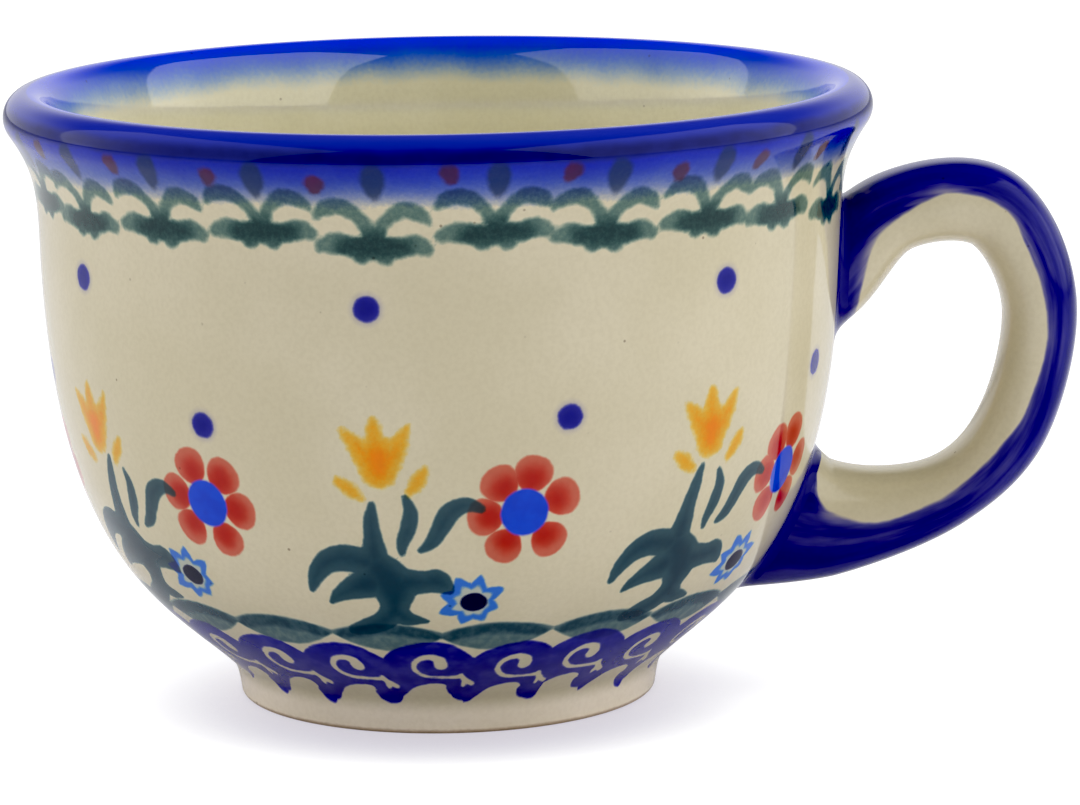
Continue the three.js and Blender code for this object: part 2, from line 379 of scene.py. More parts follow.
# Hand placing of the sprigs, repeated round the cup: turn in degrees and lift of the sprig, then where
# its berry is, sideways from the sprig and up the wall.
SPRIG_PLACING = [
    (-1.1, -0.2, -6.3, 74.7), (-0.25, 0.3, -5.1, 74.4), (0.3, 0.9, -5.0, 73.9), (0.05, -0.6, -6.0, 73.4),
    (0.45, 0.9, -4.8, 74.8), (-0.15, 0.0, -5.1, 74.5), (0.2, 0.4, -5.4, 73.4), (-0.25, -0.2, -7.3, 73.6),
    (0.7, -1.6, -8.4, 73.1), (-0.3, 0.2, -5.6, 74.2),
]
SWAG_COUNT = 18
SWAG_START = -131.0
SWAG_HEIGHT = 15.4
SWAG_RISE = 1.9
SWAG_DROP = 3.4
SWAG_OVERLAP = 0.5
SWAG_POOL = (1.1, 0.9)  # the darker band: how far below the upper edge, and half its width
SWAG_POOL_SHARE = 0.72  # how much of half a swag the dark band runs along
WAVE_COUNT = 22
WAVE_START = -143.85
WAVE_HEIGHT = 8.0
WAVE_WIDTH = 14.6  # what one drawn wave takes, before it is fitted to the count
WAVE_SLANT = 0.85  # the crest's slope makes its edge nearer than it is straight up
# Hand placing of the waves, repeated round the cup: turn in degrees, lift, and lift of the tooth.
WAVE_PLACING = [
    (-1.5, -0.6, -0.6), (-1.2, -0.7, -0.6), (-0.9, -0.6, 0.0), (0.15, 0.0, 0.9),
    (1.2, -0.5, 0.1), (-0.4, 0.2, 0.0), (0.0, -0.5, -0.9), (0.3, -0.2, -0.4),
]

WAVE_TOP = [
    (-8.1, 0.8), (-6.9, 2.4), (-5.6, 3.6), (-4.1, 4.4), (-2.0, 5.1), (0.5, 5.5),
    (2.6, 5.5), (4.7, 4.9), (6.5, 3.8), (8.05, 2.5), (9.2, 0.8),
]
WAVE_BOTTOM = [
    (-8.0, -8.4), (-6.7, -8.1), (-5.2, -7.1), (-3.1, -5.5), (-0.5, -4.6), (2.1, -4.35),
    (3.6, -4.8), (4.2, -5.8), (5.0, -7.9), (6.6, -8.5), (8.4, -8.3), (9.4, -7.4),
]
WAVE_TOOTH = [(6.4, -7.4, 1.1), (5.4, -7.0, 1.3), (4.7, -6.8, 1.0), (4.0, -6.2, 0.4)]
WAVE_CURL = [
    [(2.7, 0.5, 1.35), (2.4, 1.6, 1.05), (1.0, 2.3, 0.68), (-0.7, 2.0, 0.6), (-1.9, 0.9, 0.6),
     (-2.2, -0.6, 0.6), (-1.3, -1.9, 0.55), (0.3, -2.6, 0.48), (2.5, -2.8, 0.42), (4.9, -2.8, 0.45),
     (6.4, -2.7, 0.55)],
    [(6.5, -2.3, 0.5), (7.3, -3.6, 0.68), (8.8, -4.6, 0.62)],
    [(7.2, -3.6, 0.6), (7.1, -4.9, 0.5)],
]


class Wall:
    """The painted outside: an angle in degrees and a distance up the wall for each of its points."""

    def __init__(self, angle, along):
        self.angle = angle
        self.along = along
        self.fields = {}

    def local(self, angle, height, tilt=0.0):
        """Points measured from a stamp's own origin, turned by the stamp's tilt in degrees."""
        turn = (self.angle - angle + 180) % 360 - 180
        u = np.radians(turn) * STAMP_RADIUS
        v = self.along - height
        lean = math.radians(tilt)
        return u * math.cos(lean) + v * math.sin(lean), v * math.cos(lean) - u * math.sin(lean)

    def near(self, u, v, low, high):
        return (u > low[0]) & (u < high[0]) & (v > low[1]) & (v < high[1])

    def field(self, name):
        if name not in self.fields:
            self.fields[name] = np.full(len(self.angle), FAR)
        return self.fields[name]

    def stamp(self, name, where, values):
        field = self.field(name)
        field[where] = np.maximum(field[where], values)


def stroke_distance(u, v, stroke):
    """Depth inside one brush stroke, negative outside."""
    depth = np.full(len(u), FAR)
    for centre_u, centre_v, radius in spline(stroke, 8 * len(stroke)):
        depth = np.maximum(depth, radius - np.hypot(u - centre_u, v - centre_v))
    return depth


def strokes_distance(u, v, strokes):
    return np.max([stroke_distance(u, v, stroke) for stroke in strokes], axis=0)


def stamp_sprigs(wall, rng):
    for index in range(SPRIG_COUNT):
        turn, lift, berry_side, berry_height = SPRIG_PLACING[index % len(SPRIG_PLACING)]
        angle = SPRIG_START + index * 360 / SPRIG_COUNT
        u, v = wall.local(angle + turn, SPRIG_HEIGHT + lift, rng.uniform(-2.0, 2.0))
        where = wall.near(u, v, (-12, -6), (10, 14))
        wall.stamp("sprig", where, strokes_distance(u[where], v[where], SPRIG))
        wall.stamp("sprig_dark", where, stroke_distance(u[where], v[where], SPRIG_HEART))
        u, v = wall.local(angle + 0.5, SPRIG_LEAF_HEIGHT + rng.uniform(-0.3, 0.3), rng.uniform(-6, 6))
        wall.stamp("sprig_leaf", where, stroke_distance(u[where], v[where], SPRIG_LEAF))
        berry_angle = angle + math.degrees(berry_side / STAMP_RADIUS)
        u, v = wall.local(berry_angle, berry_height, rng.uniform(-25, 10))
        wall.stamp("berry", where, stroke_distance(u[where], v[where], SPRIG_BERRY))


def stamp_flower(wall, u, v, where, shift, petals):
    u = u - FLOWER_CENTRE[0] - shift[0]
    v = v - FLOWER_CENTRE[1] - shift[1]
    wall.stamp("flower_heart", where, FLOWER_HEART_RADIUS - np.hypot(u, v))
    for index, angle in enumerate(petals):
        bearing = math.radians(angle)
        out = u * math.cos(bearing) + v * math.sin(bearing) - PETAL_REACH
        side = v * math.cos(bearing) - u * math.sin(bearing)
        spread = 1 + PETAL_FLARE * out / PETAL_LENGTH
        reach = np.hypot(out / PETAL_LENGTH, side / (PETAL_WIDTH * spread))
        wall.stamp("petal_even" if index % 2 else "petal_odd", where, PETAL_LENGTH * (1 - reach))
        wall.stamp("petal_dark", where, PETAL_POOL[1] - np.hypot(out + PETAL_POOL[0], side))


def stamp_star(wall, u, v, where, shift, turn):
    u = u - STAR_CENTRE[0] - shift[0]
    v = v - STAR_CENTRE[1] - shift[1]
    wall.stamp("eye", where, EYE_SIZE[1] * (1 - np.hypot(u / EYE_SIZE[0], v / EYE_SIZE[1])))
    bearing = (np.degrees(np.arctan2(v, u)) - turn) % 360
    angles, radii = np.array(STAR_OUTLINE).T
    outline = np.interp(bearing, angles, radii, period=360)
    radius = np.hypot(u, v)
    wall.stamp("star", where, (outline - radius) * STAR_SLANT)
    wall.stamp("star_middle", where, STAR_HOLE_SHARE * outline + STAR_HOLE_MARGIN - radius)


def stamp_flower_units(wall):
    for angle, stem, leaf_shift, tulip_shift, flower_shift, star_shift, star_turn, petals in FLOWER_UNITS:
        u, v = wall.local(angle, FLOWER_HEIGHT)
        where = wall.near(u, v, (-17, -1), (27, 38))
        u, v = u[where], v[where]
        wall.stamp("tulip", where, strokes_distance(u - tulip_shift[0], v - tulip_shift[1], TULIP))
        wall.stamp("plant", where, strokes_distance(u, v, PLANT + [stem]))
        wall.stamp("plant", where, strokes_distance(u - leaf_shift[0], v - leaf_shift[1], LEAVES))
        stamp_flower(wall, u, v, where, flower_shift, petals)
        stamp_star(wall, u, v, where, star_shift, star_turn)


def stamp_dots(wall):
    for angle, height in UPPER_DOTS + LOWER_DOTS:
        u, v = wall.local(angle, height)
        where = wall.near(u, v, (-6, -6), (6, 6))
        wall.stamp("dot", where, DOT_RADIUS - np.hypot(u[where], v[where]))


def stamp_swags(wall, rng):
    """Leaves laid end to end, each a lens between a flat upper arc and a deeper lower one."""
    half = math.radians(180 / SWAG_COUNT) * STAMP_RADIUS + SWAG_OVERLAP
    for index in range(SWAG_COUNT):
        angle = SWAG_START + (index + 0.5) * 360 / SWAG_COUNT + rng.uniform(-0.5, 0.5)
        u, v = wall.local(angle, SWAG_HEIGHT + rng.uniform(-0.25, 0.25), rng.uniform(-1.5, 1.5))
        where = wall.near(u, v, (-half - 2, -6), (half + 2, 5))
        u, v = u[where], v[where]
        bulge = 1 - (u / half) ** 2
        above = v - SWAG_RISE * bulge
        below = -SWAG_DROP * bulge - v
        wall.stamp("swag", where, np.maximum(-np.maximum(above, below), FAR))
        past_pool = np.maximum(np.abs(u / half) - SWAG_POOL_SHARE, 0)
        wall.stamp("swag_dark", where, SWAG_POOL[1] - np.abs(above + SWAG_POOL[0]) - 3 * past_pool)


def stamp_waves(wall):
    fit = 2 * math.pi * STAMP_RADIUS / WAVE_COUNT / WAVE_WIDTH
    top = spline(WAVE_TOP, 80)
    bottom = spline(WAVE_BOTTOM, 80)
    for index in range(WAVE_COUNT):
        turn, lift, tooth_lift = WAVE_PLACING[index % len(WAVE_PLACING)]
        u, v = wall.local(WAVE_START + index * 360 / WAVE_COUNT + turn, WAVE_HEIGHT + lift)
        u = u / fit
        where = wall.near(u, v, (-9.5, -14), (12, 9))
        u, v = u[where], v[where]
        dome = (np.interp(u, top[:, 0], top[:, 1], left=FAR, right=FAR) - v) * WAVE_SLANT
        floor = v - np.interp(u, bottom[:, 0], bottom[:, 1])
        tooth = stroke_distance(u, v - tooth_lift, WAVE_TOOTH)
        wall.stamp("wave", where, np.maximum(np.minimum(dome, floor), tooth))
        wall.stamp("wave_curl", where, strokes_distance(u, v, WAVE_CURL))


def decorate(wall):
    rng = np.random.default_rng(7)
    stamp_sprigs(wall, rng)
    stamp_flower_units(wall)
    stamp_dots(wall)
    stamp_swags(wall, rng)
    stamp_waves(wall)


# -------- material helper

def linear(red, green, blue):
    """Linear colour of an everyday 0 to 255 colour."""
    def channel(value):
        value = value / 255
        return value / 12.92 if value <= 0.04045 else ((value + 0.055) / 1.055) ** 2.4
    return tuple(channel(value) for value in (red, green, blue))


class Nodes:
    """Adds nodes to one node tree and joins them up."""

    def __init__(self, tree):
        self.tree = tree

    def plug(self, socket, value):
        if isinstance(value, bpy.types.NodeSocket):
            self.tree.links.new(value, socket)
        else:
            socket.default_value = value

    def add(self, kind, inputs=(), **settings):
        """A new node with its settings, and with values or other nodes' sockets for its inputs."""
        node = self.tree.nodes.new(kind)
        for key, value in settings.items():
            setattr(node, key, value)
        for name, value in dict(inputs).items():
            self.plug(node.inputs[name], value)
        return node

    def math(self, operation, *values):
        return self.add("ShaderNodeMath", enumerate(values), operation=operation).outputs[0]

    def times(self, value, factor, plus=0.0):
        return self.math("MULTIPLY_ADD", value, factor, plus)

    def smooth(self, value, low, high, start=0.0, end=1.0):
        inputs = enumerate((value, low, high, start, end))
        return self.add("ShaderNodeMapRange", inputs, interpolation_type="SMOOTHSTEP").outputs[0]

    def joined(self, *values):
        return self.add("ShaderNodeCombineXYZ", enumerate(values)).outputs[0]

    def mix(self, factor, under, over, blend="MIX"):
        under, over = ((*colour, 1.0) if isinstance(colour, tuple) else colour for colour in (under, over))
        inputs = {0: factor, 6: under, 7: over}
        return self.add("ShaderNodeMix", inputs, data_type="RGBA", blend_type=blend).outputs[2]


class Paint(Nodes):
    """The nodes of one new material. Sizes are in millimetres."""

    def __init__(self, name):
        self.material = bpy.data.materials.new(name)
        self.material.use_nodes = True
        super().__init__(self.material.node_tree)
        self.shader = self.tree.nodes["Principled BSDF"]
        self.objects = self.add("ShaderNodeTexCoord").outputs["Object"]

    def shade(self, name, value):
        self.plug(self.shader.inputs[name], value)

    def field(self, name):
        return self.add("ShaderNodeAttribute", attribute_name=name).outputs["Fac"]

    def stretched(self, scale):
        return self.add("ShaderNodeMapping", {"Vector": self.objects, "Scale": scale}).outputs[0]

    def noise(self, size, detail=2.0, vector=None, roughness=0.5):
        """Noise about 0.5, with features of about the given size."""
        inputs = {"Vector": vector or self.objects, "Scale": 1 / (size * MM)}
        inputs.update({"Detail": detail, "Roughness": roughness})
        return self.add("ShaderNodeTexNoise", inputs).outputs["Fac"]

    def wobble(self, size, detail=2.0):
        """Noise about 0."""
        return self.math("SUBTRACT", self.noise(size, detail), 0.5)

    def coat(self, under, colour, coats):
        """A see-through glaze colour over what is under it. Twice the coats let the square through."""
        film = self.add("ShaderNodeGamma", {"Color": (*colour, 1.0), "Gamma": coats})
        return self.mix(1.0, under, film.outputs[0], "MULTIPLY")

    def bump(self, height, strength, distance):
        inputs = {"Strength": strength, "Distance": distance * MM, "Height": height}
        self.shade("Normal", self.add("ShaderNodeBump", inputs).outputs[0])


# -------- glaze colours

CREAM_SEEN = linear(190, 182, 156)  # bare glaze on the cup's front, as the studio light shows it


def pigment(red, green, blue):
    """What one full coat of a glaze colour lets through, from how it is seen over bare glaze."""
    over = linear(red, green, blue)
    return tuple(over[channel] / CREAM_SEEN[channel] for channel in range(3))


GREEN = pigment(30, 56, 69)
SPRIG_GREEN = pigment(30, 58, 58)
COBALT = pigment(18, 18, 124)
HANDLE_COBALT = pigment(30, 29, 111)
SPONGED_BLUE = pigment(33, 52, 152)
INSIDE_BLUE = pigment(28, 58, 166)
RED = pigment(171, 67, 50)
ORANGE = pigment(203, 128, 13)
FLOWER_BLUE = pigment(18, 63, 185)
STAR_BLUE = pigment(50, 101, 185)
EYE_BLACK = pigment(16, 17, 43)
PLAIN_COBALT = pigment(42, 50, 142)
# partly painted shade: the lip's darker lower edge stands for pooled cobalt and for the shade under the
# rolled lip
LIP_POOL_AND_SHADE = (0.7, 0.6, 0.47)
FLOWER_SHADE = (0.9, 0.8, 0.9)

CREAM = linear(214, 205, 175)
CLAY_PALE = linear(217, 208, 179)
CLAY_DULL = linear(210, 201, 170)
CLAY_GRAIN = linear(184, 172, 138)
IRON_SPECK = linear(120, 100, 78)
BISQUE_PALE = linear(205, 186, 156)
BISQUE_DULL = linear(176, 150, 118)
TOASTED_EDGE = linear(160, 122, 88)
BERRY_RED = linear(92, 28, 40)
BERRY_DARK = linear(42, 20, 42)
LEAF_PALE = linear(38, 64, 90)
LEAF_DARK = linear(18, 42, 76)
INSIDE_TINT = (1.15, 1.2, 1.25)
# painted light: the foot's colour is lightened for the light that the table throws on it
FOOT_TABLE_LIGHT = (1.5, 1.48, 1.68)  # the foot is washed by light from the table

GLOSS = 0.06  # roughness of the fired glaze
HANDLE_GLOSS = 0.14
BARE_ROUGHNESS = 0.75
GLASS = 1.5  # refractive index
RIPPLE_SIZE = 3.5  # millimetres
RIPPLE_STRENGTH = 0.25
RIPPLE_HEIGHT = 0.02
CLEAR_MIRROR = 0.5
COBALT_MIRROR = 0.25  # the thick cobalt is less glassy than the clear glaze over cream clay
INSIDE_MIRROR = 1.0
SPECK_SPACING = 3.4  # millimetres
STREAK_STRETCH = 9.0  # how much longer than wide the brush streaks of the handle are

# How each stamp's outline is painted, in millimetres: how soft, how ragged and how wandering it is.
EDGES = {
    "sprig": (0.38, 0.5, 0.3),
    "sprig_leaf": (0.4, 0.4, 0.3),
    "berry": (0.35, 0.6, 0.3),
    "plant": (0.2, 0.25, 0.3),
    "tulip": (0.45, 0.9, 0.3),
    "petal_odd": (0.2, 0.25, 0.15),
    "petal_even": (0.2, 0.25, 0.15),
    "flower_heart": (0.2, 0.2, 0.1),
    "star": (0.18, 0.3, 0.1),
    "eye": (0.18, 0.2, 0.1),
    "dot": (0.25, 0.3, 0.15),
    "swag": (0.3, 0.25, 0.3),
    "wave": (0.25, 0.35, 0.4),
    "wave_curl": (0.25, 0.35, 0.3),
}
DOT_HALO = (0.75, 0.2, 0.1)
DOT_HALO_GROWTH = 0.25

# How the coats of colour vary inside an outline: a shallow and a deep distance in millimetres, how many
# coats lie at each, and how much noise is added to the distance.
COATS = {
    "sprig_dark": (-1.2, 1.2, 0.5, 1.05, 1.2),
    "plant": (0.0, 2.4, 0.78, 1.05, 1.2),
    "tulip": (0.1, 2.4, 0.55, 1.3, 1.5),
    "petal_dark": (-1.1, 1.4, 0.72, 1.8, 1.4),
    "star_middle": (0.35, -0.35, 0.12, 1.0, 0.7),
    "dot": (0.0, 1.2, 0.75, 1.05, 1.2),
    "swag_dark": (-0.6, 0.5, 0.5, 0.86, 0.8),
}
DOT_HALO_COATS = 0.1
UNDER_PLANT = 0.65  # how much of a swag's colour is left out under a plant or a wave
UNDER_LEAF = 0.6  # and of a petal's under a leaf
RIM_SPONGE = (0.238, -16.66, 1.4)  # coats: for each millimetre up the wall, at its foot, and at most


def glaze(paint, mirror=CLEAR_MIRROR, roughness=GLOSS):
    """Clear gloss glaze: a smooth surface with a faint orange-peel ripple."""
    paint.shade("Roughness", roughness)
    paint.shade("IOR", GLASS)
    paint.shade("Specular IOR Level", mirror)
    paint.bump(paint.noise(RIPPLE_SIZE, 1.0), RIPPLE_STRENGTH, RIPPLE_HEIGHT)


def clay(paint):
    """Cream stoneware under the glaze: slow tone shifts, a fine grain and tiny iron specks."""
    tone = paint.smooth(paint.noise(18), 0.3, 0.7)
    colour = paint.mix(tone, CLAY_DULL, CLAY_PALE)
    grain = paint.smooth(paint.noise(0.6), 0.3, 0.75)
    colour = paint.mix(paint.times(grain, 0.16), colour, CLAY_GRAIN)
    cells = {"Vector": paint.objects, "Scale": 1 / (SPECK_SPACING * MM)}
    specks = paint.add("ShaderNodeTexVoronoi", cells)
    spot = paint.smooth(specks.outputs["Distance"], 0.075, 0.03)
    rare = paint.smooth(paint.noise(5.0, 0.0), 0.5, 0.6)
    speck = paint.times(paint.times(spot, rare), 0.7)
    return paint.mix(speck, colour, IRON_SPECK)


class Decoration:
    """The stamped colours of the outside, each laid over what is already there."""

    def __init__(self, paint):
        self.paint = paint
        self.colour = clay(paint)
        self.ragged = paint.wobble(0.9)
        self.wander = paint.wobble(5.0, 1.0)
        self.sponge = paint.noise(0.55, roughness=0.7)
        self.cloud = paint.noise(2.6)

    def mask(self, name, edge=None, grow=0.0):
        """1 inside a stamp's outline and 0 outside it."""
        paint = self.paint
        softness, ragged, wander = edge or EDGES[name]
        depth = paint.times(self.ragged, ragged, paint.field(name))
        depth = paint.times(self.wander, wander, depth)
        return paint.smooth(depth, -softness - grow, softness - grow)

    def body(self, name, texture=None):
        """Coats of a stamp, from thin at a shallow distance inside its outline to thick at a deep one."""
        paint = self.paint
        shallow, deep, thin, thick, mottle = COATS[name]
        uneven = paint.math("SUBTRACT", texture or self.cloud, 0.5)
        depth = paint.times(uneven, mottle, paint.field(name))
        return paint.smooth(depth, shallow, deep, thin, thick)

    def lay(self, colour, mask, coats):
        """See-through coats of a colour, inside a mask."""
        coats = self.paint.times(mask, coats)
        self.colour = self.paint.coat(self.colour, colour, coats)

    def cover(self, colour, mask):
        """An opaque colour, inside a mask."""
        self.colour = self.paint.mix(mask, self.colour, colour)

    def spared(self, share, mask):
        """1, less a share of it inside a mask."""
        return self.paint.times(mask, -share, 1.0)


def sponge_rim(deco):
    """Sponged blue under the lip, denser upwards."""
    paint = deco.paint
    slope, start, most = RIM_SPONGE
    height = paint.times(deco.wander, 1.4, paint.field("along"))
    height = paint.math("ADD", paint.math("SUBTRACT", deco.sponge, 0.5), height)
    coats = paint.math("MAXIMUM", paint.times(height, slope, start), 0.0)
    deco.colour = paint.coat(deco.colour, SPONGED_BLUE, paint.math("MINIMUM", coats, most))


def brush_lip(deco):
    """The brushed cobalt of the lip, darkest on its lower edge: pooled cobalt there, and painted shade of
    the crease under the rolled lip. Returns where the lip is.
    """
    paint = deco.paint
    height = paint.times(deco.wander, 0.8, paint.field("along"))
    band = paint.smooth(height, 75.4, 76.8)
    shade = paint.smooth(deco.cloud, 0.3, 0.7, 0.85, 1.1)
    # the lip's lower edge, darkened for pooled cobalt and as painted shade of the crease under it
    edge = paint.times(paint.smooth(height, 75.6, 76.6), paint.smooth(height, 78.3, 77.0))
    deco.cover(paint.mix(1.0, CREAM, PLAIN_COBALT, "MULTIPLY"), band)
    deco.lay(LIP_POOL_AND_SHADE, edge, shade)
    return band


def wave_mask(deco):
    """The waves, without the spiral that each leaves cream."""
    uncut = deco.paint.math("SUBTRACT", 1.0, deco.mask("wave_curl"))
    return deco.paint.times(deco.mask("wave"), uncut)


def lay_waves(deco, wave):
    deco.lay(COBALT, wave, deco.paint.smooth(deco.cloud, 0.3, 0.7, 0.74, 1.12))


def lay_swags(deco, over):
    """Streaked green swags, thinner where another stamp lies over them."""
    paint = deco.paint
    streak = paint.noise(0.9, vector=paint.stretched((1.0, 1.0, 0.25)))
    streaks = paint.smooth(streak, 0.25, 0.7, 0.86, 1.12)
    swag = paint.times(deco.mask("swag"), deco.spared(UNDER_PLANT, over))
    deco.lay(GREEN, swag, paint.times(deco.body("swag_dark"), streaks))


def lay_sprigs(deco):
    """Sponged green sprigs, with a blue leaf and a red berry over each."""
    paint = deco.paint
    mottle = paint.smooth(deco.sponge, 0.25, 0.7, 0.88, 1.1)
    deco.lay(SPRIG_GREEN, deco.mask("sprig"), paint.times(deco.body("sprig_dark"), mottle))
    deco.cover(paint.mix(mottle, LEAF_PALE, LEAF_DARK), paint.times(deco.mask("sprig_leaf"), 0.8))
    deco.cover(paint.mix(deco.cloud, BERRY_RED, BERRY_DARK), paint.times(deco.mask("berry"), 0.85))


def lay_flowers(deco, plant):
    """Red petals, thinner under a leaf, round a blue heart."""
    paint = deco.paint
    petals = paint.math("MAXIMUM", deco.mask("petal_odd"), deco.mask("petal_even"))
    petals = paint.times(petals, deco.spared(UNDER_LEAF, plant))
    deco.lay(RED, petals, deco.body("petal_dark"))
    heart = deco.mask("flower_heart")
    deco.cover(paint.mix(1.0, CREAM, FLOWER_BLUE, "MULTIPLY"), heart)
    deco.lay(FLOWER_SHADE, heart, paint.smooth(deco.cloud, 0.6, 0.35))


def decorated_glaze():
    """The painted outside: cream glaze under every stamped and brushed colour."""
    paint = Paint("decorated_glaze")
    deco = Decoration(paint)
    wave = wave_mask(deco)
    plant = deco.mask("plant")
    sponge_rim(deco)
    lay_swags(deco, paint.math("MAXIMUM", plant, wave))
    deco.lay(GREEN, plant, deco.body("plant"))
    lay_sprigs(deco)
    lay_flowers(deco, plant)
    deco.lay(ORANGE, deco.mask("tulip"), deco.body("tulip", deco.sponge))
    deco.lay(STAR_BLUE, deco.mask("star"), deco.body("star_middle"))
    deco.lay(EYE_BLACK, deco.mask("eye"), 1.0)
    deco.lay(COBALT, deco.mask("dot", DOT_HALO, DOT_HALO_GROWTH), DOT_HALO_COATS)
    deco.lay(COBALT, deco.mask("dot"), deco.body("dot"))
    lay_waves(deco, wave)
    lip = brush_lip(deco)
    paint.shade("Base Color", deco.colour)
    glaze(paint, paint.times(lip, COBALT_MIRROR - CLEAR_MIRROR, CLEAR_MIRROR))
    return paint.material


def inside_glaze(lip_top):
    """Cobalt on the lip that thins to cream glaze inside the cup."""
    paint = Paint("inside_glaze")
    depth = paint.math("SUBTRACT", paint.field("along"), lip_top)
    depth = paint.math("ADD", paint.wobble(0.6), depth)
    depth = paint.times(paint.wobble(7.0, 1.0), 1.5, depth)
    coats = paint.smooth(depth, 8.2, 0.8, 0.0, 1.25)
    pale = paint.mix(1.0, clay(paint), INSIDE_TINT, "MULTIPLY")
    paint.shade("Base Color", paint.coat(pale, INSIDE_BLUE, coats))
    glaze(paint, paint.smooth(depth, 0.0, 3.0, COBALT_MIRROR, INSIDE_MIRROR))
    return paint.material


def foot_glaze():
    """Cream glaze, with the teeth of the waves, that stops at a thin bare line on the table."""
    paint = Paint("foot_glaze")
    deco = Decoration(paint)
    lay_waves(deco, wave_mask(deco))
    height = paint.times(deco.ragged, 0.25, paint.field("above_table"))
    # painted light from the table, lightening the foot's glaze from its top downwards
    table_lit = paint.mix(1.0, deco.colour, FOOT_TABLE_LIGHT, "MULTIPLY")
    deco.cover(table_lit, paint.smooth(height, FOOT_HEIGHT, FOOT_HEIGHT / 2))
    deco.cover(TOASTED_EDGE, paint.times(paint.smooth(height, 0.75, 0.3), 0.6))
    deco.cover(paint.mix(paint.noise(0.4, 3.0), BISQUE_DULL, BISQUE_PALE), paint.smooth(height, 0.35, 0.2))
    paint.shade("Base Color", deco.colour)
    glaze(paint)
    paint.shade("Roughness", paint.smooth(height, 0.2, 0.4, BARE_ROUGHNESS, GLOSS))
    return paint.material


def handle_glaze(name):
    """Brushed cobalt with a cream panel where the strap faces the finger."""
    paint = Paint(name)
    along = paint.times(paint.field("along_strap"), MM / STREAK_STRETCH)
    around = paint.times(paint.field("round_strap"), MM)
    brush = paint.noise(1.5, 3.0, vector=paint.joined(along, around))
    panel = paint.times(paint.wobble(1.2), 0.2, paint.field("panel"))
    panel = paint.math("ADD", paint.wobble(6.0, 1.0), panel)
    thin_edge = paint.smooth(panel, -1.3, 0.0, 0.0, 0.42)
    coats = paint.math("SUBTRACT", paint.smooth(brush, 0.32, 0.7, 1.2, 0.64), thin_edge)
    coats = paint.times(coats, paint.smooth(panel, 0.26, -0.22))
    paint.shade("Base Color", paint.coat(clay(paint), HANDLE_COBALT, coats))
    glaze(paint, paint.smooth(panel, -1.0, 0.5, COBALT_MIRROR, CLEAR_MIRROR), HANDLE_GLOSS)
    return paint.material


# -------- the pieces

def line(start, end, step):
    return resample(np.array([start, end]), step)


def under_profile():
    """The underside, from the axis out to where the outside wall begins."""
    edge = (SPIGOT_RADIUS - SPIGOT_TAPER, FLOOR_UNDERSIDE)
    shoulder = (SPIGOT_RADIUS, SEAT)
    spigot = line(edge, shoulder, SPIGOT_STEP)
    seat = line(shoulder, (SEAT_RADIUS, SEAT), PLAIN_STEP)
    return np.concatenate([[(0, FLOOR_UNDERSIDE)], spigot, seat[1:]])


def bearings(points):
    return np.degrees(np.arctan2(points[:, 1], points[:, 0]))


def make_cup_shell():
    """The whole cup but its foot and handle. Its first material is outside, its second inside and under."""
    under = under_profile()
    above_seat = OUTSIDE[OUTSIDE[:, 1] > SEAT]
    wall = resample(np.insert(above_seat, 0, (SEAT_RADIUS, SEAT), axis=0), WALL_STEP)
    lip = resample(arc(LIP_CENTRE, LIP_RADIUS, LIP_START, LIP_END), LIP_STEP)
    inside = resample(inside_profile(), PLAIN_STEP)
    profile = np.concatenate([under, wall, lip[1:], inside[1:]])
    points, faces = turned_solid(profile)

    along = arc_length(profile)
    along = along - along[len(under)]
    lip_top = along[len(under) + len(wall) + int(np.argmax(lip[1:, 1]))]
    rings = along[1:-1]
    painted_band = (np.arange(len(rings) - 1) >= len(under) - 1) & (rings[:-1] < lip_top)
    slots = np.ones(len(faces), int)
    slots[: len(painted_band) * WALL_COLUMNS] = np.where(np.repeat(painted_band, WALL_COLUMNS), 0, 1)
    piece = new_piece("cup_shell", points, faces, [decorated_glaze(), inside_glaze(lip_top)], slots)

    point_along = np.concatenate([np.repeat(rings, WALL_COLUMNS), [along[0], along[-1]]])
    add_field(piece, "along", point_along)
    painted = Wall(bearings(points), point_along)
    decorate(painted)
    outside = (point_along >= 0) & (point_along <= lip_top)
    for name, values in painted.fields.items():
        add_field(piece, name, np.where(outside, values, FAR))
    return piece


def foot_profiles():
    """The foot ring's painted side, upwards, and the hidden rest of its outline."""
    outer_centre = (FOOT_RADIUS_BOTTOM - FOOT_EDGE, FOOT_EDGE)
    inner_centre = (FOOT_RADIUS_INSIDE + FOOT_EDGE, FOOT_EDGE)
    edge = arc(outer_centre, FOOT_EDGE, -math.pi / 2, -EDGE_SOFTNESS, EDGE_POINTS)
    side = cubic((FOOT_RADIUS_BOTTOM, FOOT_EDGE), *FOOT_CURVE, (SEAT_RADIUS, SEAT), FOOT_POINTS)
    top = line((SEAT_RADIUS, SEAT), (FOOT_RADIUS_INSIDE, SEAT - 0.1), 0.8)
    inner = line((FOOT_RADIUS_INSIDE, SEAT - 0.3), (FOOT_RADIUS_INSIDE, FOOT_EDGE), 0.5)
    inner_edge = arc(inner_centre, FOOT_EDGE, math.pi + EDGE_SOFTNESS, 1.5 * math.pi, EDGE_POINTS)
    return np.concatenate([edge, resample(side, FOOT_STEP)]), np.concatenate([top[1:], inner, inner_edge])


def make_foot():
    side, hidden = foot_profiles()
    profile = np.concatenate([side, hidden])
    points = turned(profile)
    piece = new_piece("foot", points, loop_faces(len(profile), WALL_COLUMNS), [foot_glaze()])
    along = np.zeros(len(profile))
    length = arc_length(side)
    along[: len(side)] = length - length[-1]
    painted = Wall(bearings(points), np.repeat(along, WALL_COLUMNS))
    stamp_waves(painted)
    for name, values in painted.fields.items():
        add_field(piece, name, values)
    add_field(piece, "above_table", points[:, 2])
    return piece


def rounded(value):
    return np.sign(value) * np.abs(value) ** (2 / SECTION_POWER)


